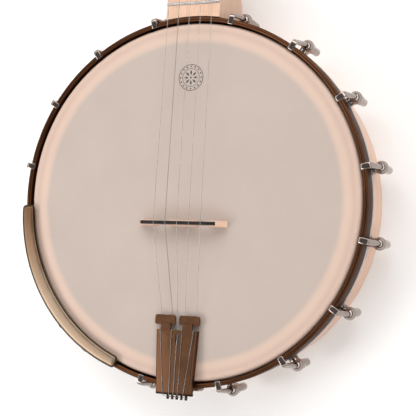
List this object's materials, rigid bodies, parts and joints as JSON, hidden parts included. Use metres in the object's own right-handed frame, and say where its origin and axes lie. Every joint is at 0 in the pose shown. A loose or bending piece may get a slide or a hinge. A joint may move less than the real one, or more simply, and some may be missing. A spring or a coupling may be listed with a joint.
{
  "type": "banjo",
  "caption": "Open-back five-string banjo: wooden pot with a translucent head, bracketed tension hoop, armrest, bridge and tailpiece, fretted maple neck and geared tuners.",
  "frame": {"origin": "centre of the whole banjo's box in plan, at the plane of the rim's back edge that it lies on", "axes": "+Z out of the drum head, +Y along the neck towards the peghead, +X towards the treble side"},
  "size_m": [0.3322, 0.9656, 0.0865],
  "materials": {
    "rim_maple": "satin, three bent plies",
    "neck_maple": "satin",
    "bridge_maple": "bare wood",
    "ebony": "oiled",
    "drum_head": "matte, translucent",
    "bare_alloy": "drawn",
    "bronze_paint": "satin, dark bronze",
    "brushed_bronze": "brushed satin bronze",
    "nickel_plate": "polished nickel",
    "gear_brass": "machined",
    "plain_string": "drawn wire",
    "wound_string": "wound wire",
    "zinc_steel": "zinc plated",
    "fret_wire": "polished nickel silver",
    "bone": "polished",
    "pearl": "polished pearl"
  },
  "bodies": {
    "root": {"rim": "rim_maple", "head": "drum_head", "flesh_hoop": "bare_alloy", "tension_hoop": "bronze_paint", "tension_hooks": "nickel_plate", "bracket_shoes": "nickel_plate", "shoe_bolts": "nickel_plate", "shoe_washers": "nickel_plate", "bracket_nuts": "nickel_plate", "coordinator_rod": "zinc_steel", "rod_end_bolt": "nickel_plate", "neck_bolts": "zinc_steel", "neck_nuts": "nickel_plate", "rim_washers": "nickel_plate", "tailpiece": "bronze_paint", "tailpiece_bracket": "bronze_paint", "tailpiece_screws": "nickel_plate", "armrest": "brushed_bronze", "armrest_brackets": "bronze_paint", "armrest_screws": "nickel_plate", "bridge_base": "bridge_maple", "bridge_cap": "ebony", "string_1": "plain_string", "string_2": "plain_string", "string_3": "plain_string", "string_4": "wound_string", "string_5": "plain_string", "neck": "neck_maple", "frets": "fret_wire", "inlays": "pearl", "nut": "bone", "fifth_string_nut": "bone", "tuner_housings": "nickel_plate", "tuner_bushings": "nickel_plate", "tuner_washers": "nickel_plate", "tuner_screws": "nickel_plate", "fifth_peg_body": "nickel_plate"},
    "button_1": {"worm_shaft_1": "nickel_plate", "tuner_button_1": "nickel_plate"},
    "post_1": {"tuner_post_1": "nickel_plate", "worm_wheel_1": "gear_brass", "string_coil_1": "plain_string"},
    "button_2": {"worm_shaft_2": "nickel_plate", "tuner_button_2": "nickel_plate"},
    "post_2": {"tuner_post_2": "nickel_plate", "worm_wheel_2": "gear_brass", "string_coil_2": "plain_string"},
    "button_3": {"worm_shaft_3": "nickel_plate", "tuner_button_3": "nickel_plate"},
    "post_3": {"tuner_post_3": "nickel_plate", "worm_wheel_3": "gear_brass", "string_coil_3": "plain_string"},
    "button_4": {"worm_shaft_4": "nickel_plate", "tuner_button_4": "nickel_plate"},
    "post_4": {"tuner_post_4": "nickel_plate", "worm_wheel_4": "gear_brass", "string_coil_4": "wound_string"},
    "fifth_button": {"fifth_peg_button": "nickel_plate"},
    "fifth_spool": {"fifth_peg_spool": "nickel_plate", "fifth_string_coil": "plain_string"}
  },
  "joints": [
    {"name": "tuner_1_turn", "type": "hinge", "parent": "root", "child": "button_1", "pos_m": [0.02715, 0.37705, 0.01826], "axis": [1, 0, 0], "continuous": true},
    {"name": "post_1_turn", "type": "hinge", "parent": "root", "child": "post_1", "pos_m": [0.02715, 0.37254, 0.03889], "axis": [0, 0.1778, 0.9841], "continuous": true},
    {"name": "tuner_2_turn", "type": "hinge", "parent": "root", "child": "button_2", "pos_m": [0.02715, 0.43019, 0.00866], "axis": [1, 0, 0], "continuous": true},
    {"name": "post_2_turn", "type": "hinge", "parent": "root", "child": "post_2", "pos_m": [0.02715, 0.42568, 0.02929], "axis": [0, 0.1778, 0.9841], "continuous": true},
    {"name": "tuner_3_turn", "type": "hinge", "parent": "root", "child": "button_3", "pos_m": [-0.01885, 0.43019, 0.00866], "axis": [-1, 0, 0], "continuous": true},
    {"name": "post_3_turn", "type": "hinge", "parent": "root", "child": "post_3", "pos_m": [-0.01885, 0.42568, 0.02929], "axis": [0, 0.1778, 0.9841], "continuous": true},
    {"name": "tuner_4_turn", "type": "hinge", "parent": "root", "child": "button_4", "pos_m": [-0.01885, 0.37705, 0.01826], "axis": [-1, 0, 0], "continuous": true},
    {"name": "post_4_turn", "type": "hinge", "parent": "root", "child": "post_4", "pos_m": [-0.01885, 0.37254, 0.03889], "axis": [0, 0.1778, 0.9841], "continuous": true},
    {"name": "fifth_peg_turn", "type": "hinge", "parent": "root", "child": "fifth_button", "pos_m": [-0.02158, 0.17896, 0.05038], "axis": [-1, 0, 0], "continuous": true},
    {"name": "fifth_spool_turn", "type": "hinge", "parent": "root", "child": "fifth_spool", "pos_m": [-0.02158, 0.17896, 0.05038], "axis": [-1, 0, 0], "continuous": true}
  ],
  "couplings": [
    {"joint": "post_1_turn", "follows": "tuner_1_turn", "ratio": 0.071429},
    {"joint": "post_2_turn", "follows": "tuner_2_turn", "ratio": 0.071429},
    {"joint": "post_3_turn", "follows": "tuner_3_turn", "ratio": 0.071429},
    {"joint": "post_4_turn", "follows": "tuner_4_turn", "ratio": 0.071429},
    {"joint": "fifth_spool_turn", "follows": "fifth_peg_turn", "ratio": 0.25}
  ]
}
